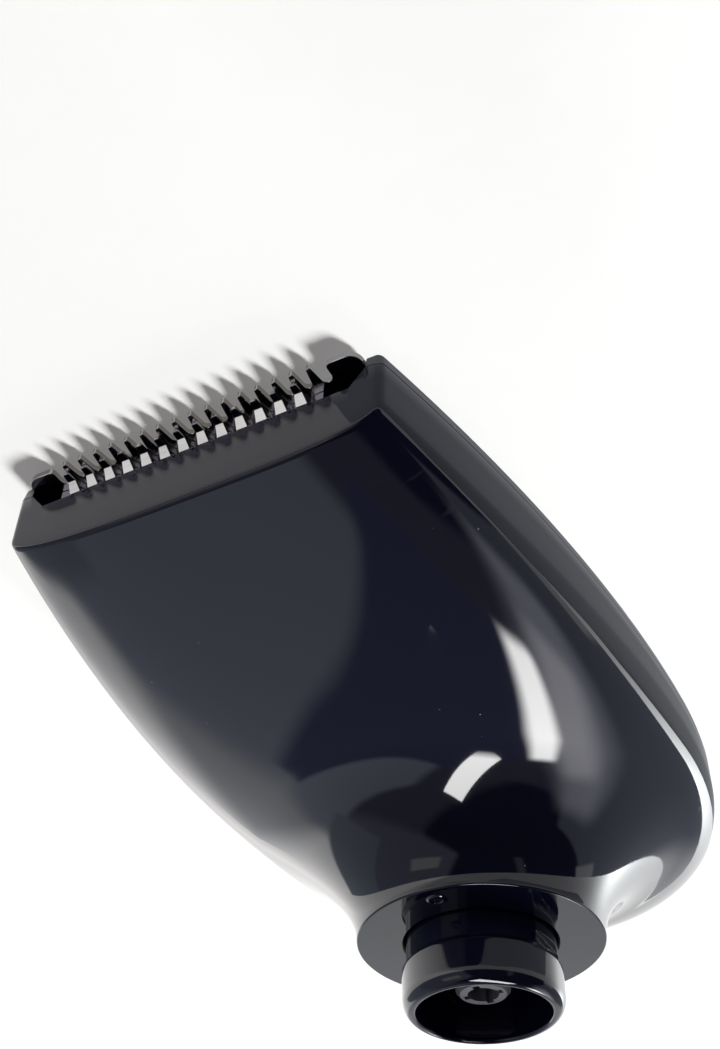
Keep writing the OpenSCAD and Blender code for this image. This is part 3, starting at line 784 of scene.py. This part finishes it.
def sintered_bronze(name):
    """Porous bearing bronze, dark with oil in its pores."""
    m = Recipe(name)
    pores = m.specks(5200, 0.3)
    m.set("Base Color", m.mix(pores, rgba(0.55, 0.34, 0.16), rgba(0.12, 0.07, 0.03)))
    m.set("Metallic", 0.9)
    m.set("Roughness", m.math("ADD", m.math("MULTIPLY", pores, 0.3), 0.32))
    m.set("Normal", m.bump(pores, 0.00001, -0.5, 0.00004))
    return m.material


def lip_rubber(name):
    """Matt black rubber with a fine grain."""
    m = Recipe(name)
    grain = m.noise(3500, 4.0)
    m.set("Base Color", m.mix(grain, rgba(0.012, 0.012, 0.013), rgba(0.03, 0.03, 0.032)))
    m.set("Roughness", m.span(grain, 0.3, 0.7, 0.55, 0.8))
    m.set("Normal", m.bump(grain, 0.00001, 0.5, 0.00005))
    return m.material


NAVY = (0.0036, 0.0046, 0.0135)


def make_finishes():
    """One finish per material slot, and one for the cover.

    The cover's high IOR matches how bright its edge looks. It isn't a property of the plastic."""
    return {
        "housing_gloss": gloss_plastic("housing_gloss", NAVY, 0.035, 0.0),
        "cover_gloss": gloss_plastic("cover_gloss", NAVY, 0.045, 0.0, 1.85),
        "collar_gloss": gloss_plastic("collar_gloss", NAVY, 0.05, 0.00008),
        "comb_steel": ground_steel("comb_steel", (0.60, 0.585, 0.56), 0.1, (1, 0.03, 1)),
        "cutter_steel": ground_steel("cutter_steel", (0.68, 0.67, 0.655), 0.12, (0.03, 1, 1)),
        "spring_steel": ground_steel("spring_steel", (0.52, 0.54, 0.58), 0.25, (1, 0.1, 1)),
        "pin_steel": ground_steel("pin_steel", (0.6, 0.6, 0.6), 0.15, (1, 1, 0.05)),
        "screw_steel": ground_steel("screw_steel", (0.5, 0.5, 0.49), 0.28, (1, 1, 1)),
        "bush_bronze": sintered_bronze("bush_bronze"),
        "seal_rubber": lip_rubber("seal_rubber"),
        "frame_plastic": moulded_plastic("frame_plastic", (0.06, 0.065, 0.072), 0.4),
        "socket_plastic": moulded_plastic("socket_plastic", (0.11, 0.11, 0.115), 0.28),
        "slide_plastic": moulded_plastic("slide_plastic", (0.62, 0.56, 0.45), 0.35),
        "lever_plastic": moulded_plastic("lever_plastic", (0.72, 0.7, 0.64), 0.35),
    }


def give(obj, material):
    obj.data.materials.clear()
    obj.data.materials.append(material)


def node_slots():
    """CAD node name to the material slot it was packed with."""
    slots = {}
    for name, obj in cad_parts.items():
        if obj.data.materials:
            slots[name] = obj.data.materials[0].name.split(".")[0]
    return slots


def finish_cad_nodes(finishes):
    for name, slot in node_slots().items():
        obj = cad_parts[name]
        obj.data.materials[0] = finishes[slot]
        obj.data.shade_smooth()
        obj.data.set_sharp_from_angle(angle=math.radians(30))


# ---- surroundings ----
# floor glow: even over most of the floor, plus a painted pool of light on the far side and painted
# shade on the near side
GLOW, NEAR_SHADED_GLOW, FAR_PAINTED_LIGHT = 0.19, 0.12, 1.2
FAR_EDGE, NEAR_EDGE = (0.022, 0.06), (-0.015, -0.03)  # x in metres where the glow changes


def build_floor():
    """White paper that gives off light of its own, most on the far side as a painted pool of light,
    least on the near side as painted shade.
    """
    half = 3.0
    z = BASE_Z * MM
    corners = [(-half, -half, z), (half, -half, z), (half, half, z), (-half, half, z)]
    mesh = bpy.data.meshes.new("floor")
    mesh.from_pydata(corners, [], [(0, 1, 2, 3)])
    floor = bpy.data.objects.new("floor", mesh)
    bpy.context.scene.collection.objects.link(floor)
    m = Recipe("white_paper")
    fleck = m.noise(300, 3.0)
    m.set("Base Color", m.mix(fleck, rgba(0.2, 0.193, 0.185), rgba(0.205, 0.198, 0.19)))
    m.set("Roughness", 0.7)
    m.set("Normal", m.bump(fleck, 0.0001, 0.1))
    split = m.tree.nodes.new("ShaderNodeSeparateXYZ")
    m.put(split.inputs[0], m.coords)
    # painted pool of light on the far side
    painted_light = m.span(split.outputs[0], *FAR_EDGE)
    m.set("Emission Color", rgba(1, 0.965, 0.94))
    # painted shade on the near side, where the glow drops
    glow_with_painted_shade = m.span(split.outputs[0], *NEAR_EDGE, GLOW, NEAR_SHADED_GLOW)
    m.set("Emission Strength", m.math("ADD", m.math("MULTIPLY", painted_light, FAR_PAINTED_LIGHT), glow_with_painted_shade))
    give(floor, m.material)
    return floor


# The room as seen from the object, painted back to front as soft-edged rectangles.
# It is fitted to the reflections at the camera's angle, and isn't a survey of a real room.
# Azimuth runs from +Y towards +X, all angles are in degrees.
# name, azimuth, elevation, half width, half height, roll, softness, radiance
ROOM_BASE = (0.19, 0.18, 0.24)
ROOM = [
    ("dark side", -125, 20, 60, 75, 0, 8, (0.03, 0.025, 0.04)),
    ("right wall", 122, 14, 56, 50, 0, 8, (0.36, 0.35, 0.45)),
    ("door edge", -119, 8, 3.5, 18, 0, 4, (0.25, 0.25, 0.3)),
    ("low front", 156, 30, 12, 9, 0, 4, (0.95, 0.95, 0.95)),
    ("left wall", -28, 8, 35, 42, 0, 4, (0.37, 0.39, 0.46)),
    ("skirting", -57, 0, 9, 9, 0, 3, (1.0, 1.0, 1.0)),
    ("glow", -24, 41, 20, 9, -6, 12, (1.4, 1.45, 1.65)),
    ("glow core", -14, 41, 12, 5.5, -14, 8, (2.8, 2.8, 3.0)),
    ("curtain", 46, 22, 24, 42, 24, 4, (0.64, 0.69, 0.82)),
    ("shade", 16.5, 47, 13.6, 17, 31, 2, (0.17, 0.17, 0.30)),
    ("blind", 30, 0, 38, 34, 0, 10, (1.05, 1.07, 1.1)),
    ("window", 58, -2, 13, 34, -24, 10, (2.3, 2.3, 2.3)),
    ("near wall", 89, 4, 18, 46, 10, 3, (0.46, 0.52, 0.57)),
    ("side box", -5.5, 46.5, 7.6, 3.3, -46, 3.5, (15.0, 15.0, 15.0)),
]


class WorldTree:
    """Builds the light of the surroundings as a function of direction."""

    def __init__(self, tree):
        self.tree = tree
        self.direction = tree.nodes.new("ShaderNodeTexCoord").outputs["Generated"]

    def op(self, operation, a, b=0.0):
        node = self.tree.nodes.new("ShaderNodeMath")
        node.operation = operation
        for socket, value in zip(node.inputs, (a, b)):
            if isinstance(value, bpy.types.NodeSocket):
                self.tree.links.new(value, socket)
            else:
                socket.default_value = value
        return node.outputs[0]

    def along(self, axis):
        node = self.tree.nodes.new("ShaderNodeVectorMath")
        node.operation = "DOT_PRODUCT"
        self.tree.links.new(self.direction, node.inputs[0])
        node.inputs[1].default_value = axis
        return node.outputs["Value"]

    def fade(self, value, full, none):
        """One at full, zero at none, smooth between."""
        node = self.tree.nodes.new("ShaderNodeMapRange")
        node.interpolation_type = "SMOOTHSTEP"
        self.tree.links.new(value, node.inputs[0])
        for i, v in enumerate((none, full, 0.0, 1.0)):
            node.inputs[1 + i].default_value = v
        return node.outputs[0]

    def cover(self, azimuth, elevation, half_w, half_h, roll, soft):
        """Coverage of a rectangle on the sky, given by its centre, half sizes and roll."""
        az, el, turn = (math.radians(v) for v in (azimuth, elevation, roll))
        centre = Vector((math.sin(az) * math.cos(el), math.cos(az) * math.cos(el), math.sin(el)))
        side = Vector((math.cos(az), -math.sin(az), 0))
        up = side.cross(centre)
        wide = side * math.cos(turn) + up * math.sin(turn)
        high = up * math.cos(turn) - side * math.sin(turn)
        ahead = self.along(centre)
        shares = []
        for axis, half in ((wide, half_w), (high, half_h)):
            angle = self.op("ABSOLUTE", self.op("ARCTAN2", self.along(axis), ahead))
            full, none = (math.radians(half + s * soft / 2) for s in (-1, 1))
            shares.append(self.fade(angle, full, none))
        return self.op("MULTIPLY", *shares)

    def paint(self, under, radiance, share):
        """Lays one radiance over what is under it."""
        node = self.tree.nodes.new("ShaderNodeMix")
        node.data_type = "RGBA"
        self.tree.links.new(share, node.inputs[0])
        if isinstance(under, bpy.types.NodeSocket):
            self.tree.links.new(under, node.inputs[6])
        else:
            node.inputs[6].default_value = rgba(*under)
        node.inputs[7].default_value = rgba(*radiance)
        return node.outputs[2]


def build_world():
    world = bpy.data.worlds.new("studio")
    bpy.context.scene.world = world
    world.use_nodes = True
    w = WorldTree(world.node_tree)
    light = ROOM_BASE
    for _, *shape, radiance in ROOM:
        light = w.paint(light, radiance, w.cover(*shape))
    background = world.node_tree.nodes["Background"]
    world.node_tree.links.new(light, background.inputs["Color"])


NECK_LIGHT_POWER = 16.0
NECK_LIGHT_STEEP = (0.83, 0.87)  # vertical share of a ray at which the lamp starts and is full


def build_neck_light():
    """Small close lamp, seen only in reflections and only from steep angles.

    It makes the highlight in front of the spigot, and leaves faint patches on the neck."""
    centre, long_way, half_l, half_w = (-4.2, -4.7, 22.0), (-0.35, 0.937), 7.2, 2.5
    u, v = Vector((*long_way, 0)).normalized(), Vector((long_way[1], -long_way[0], 0)).normalized()
    corners = []
    for a, b in ((-1, -1), (-1, 1), (1, 1), (1, -1)):
        corners.append(tuple(Vector(centre) + u * a * half_l + v * b * half_w))
    lamp = new_object("neck_light", corners, [(0, 1, 2, 3)])
    m = Recipe("lamp")
    m.set("Base Color", rgba(0, 0, 0))
    m.set("Emission Color", rgba(1, 1, 1))
    view = m.tree.nodes.new("ShaderNodeSeparateXYZ")
    m.put(view.inputs[0], m.tree.nodes.new("ShaderNodeNewGeometry").outputs["Incoming"])
    steep = m.math("ABSOLUTE", view.outputs[2])
    m.set("Emission Strength", NECK_LIGHT_POWER)
    m.set("Alpha", m.span(steep, *NECK_LIGHT_STEEP))
    give(lamp, m.material)
    lamp.visible_camera = False
    lamp.visible_diffuse = False
    lamp.visible_shadow = False


# glow of the painted shade beside the near side wall, dimmer than the floor
PAINTED_SHADE_GLOW = 0.42


def build_painted_floor_shade():
    """Painted shade: a grey card on the floor beside the near side wall, seen only in reflections.

    It darkens that wall, standing in for the shade on the floor next to it. Its edge also shows as a
    line in the end face."""
    low, high = (-60.0, -60.0), (-10.0, 24.0)
    z = BASE_Z + 0.1
    corners = [(low[0], low[1], z), (high[0], low[1], z), (high[0], high[1], z), (low[0], high[1], z)]
    card = new_object("painted_floor_shade", corners, [(0, 1, 2, 3)])
    m = Recipe("painted_shade_card")
    m.set("Base Color", rgba(0, 0, 0))
    m.set("Specular IOR Level", 0.0)
    # painted shade: a dim glow seen only in reflections
    m.set("Emission Color", rgba(0.93, 0.96, 1.0))
    m.set("Emission Strength", PAINTED_SHADE_GLOW)
    give(card, m.material)
    card.visible_camera = False
    card.visible_diffuse = False
    card.visible_shadow = False


def build_table_light(floor, casters):
    """Light along the table from behind the head: streaks of shadow in front of the teeth.

    It lights only the floor, and only the casters block it."""
    azimuth, elevation = math.radians(-25), math.radians(22)
    data = bpy.data.lights.new("table_light", "SUN")
    data.energy = 27.0
    data.angle = math.radians(14)
    data.color = (0.95, 0.985, 1.0)
    light = bpy.data.objects.new("table_light", data)
    source = Vector((math.sin(azimuth), math.cos(azimuth), math.tan(elevation)))
    light.rotation_euler = source.to_track_quat("Z", "Y").to_euler()
    bpy.context.scene.collection.objects.link(light)
    lit = bpy.data.collections.new("lit_by_table_light")
    lit.objects.link(floor)
    shading = bpy.data.collections.new("shading_table_light")
    for obj in casters:
        shading.objects.link(obj)
    light.light_linking.receiver_collection = lit
    light.light_linking.blocker_collection = shading


def build_camera():
    """Stands in front of the teeth, left of them and above, turned upside down."""
    right = Vector((-0.886, 0.4633, -0.0185))
    down = Vector((0.304, 0.6107, 0.7312))
    away = Vector((0.35, 0.6423, -0.6819))
    place_mm = Vector((-41.54, -99.59, 51.64))
    focal_share = 1338.5 / 1049
    data = bpy.data.cameras.new("camera")
    data.sensor_fit = "VERTICAL"
    data.sensor_height = 36
    data.lens = 36 * focal_share
    data.clip_start = 0.005
    camera = bpy.data.objects.new("camera", data)
    rows = Matrix((right, -down, -away)).transposed().to_4x4()
    rows.translation = place_mm * MM
    camera.matrix_world = rows
    bpy.context.scene.collection.objects.link(camera)
    bpy.context.scene.camera = camera


# builder, body, material slot, CAD node, finish
PIECES = (
    (build_housing, "head", "housing_gloss", "upper_housing", "housing_gloss"),
    (build_cover, "head", "housing_gloss", "lower_cover", "cover_gloss"),
    (build_collar, "head", "collar_gloss", "coupling_collar", "collar_gloss"),
    (build_comb, "head", "comb_steel", "fixed_blade", "comb_steel"),
    (build_cutter, "cutter", "cutter_steel", "moving_cutter", "cutter_steel"),
)


def main():
    finishes = make_finishes()
    finish_cad_nodes(finishes)
    made = {}
    for build, body, slot, node, finish in PIECES:
        made[node] = place(build(), body, slot, node)
        give(made[node], finishes[finish])
    build_table_light(build_floor(), (made["fixed_blade"],))
    build_neck_light()
    build_painted_floor_shade()
    build_world()
    build_camera()
    bpy.context.scene.view_settings.view_transform = "Standard"


main()
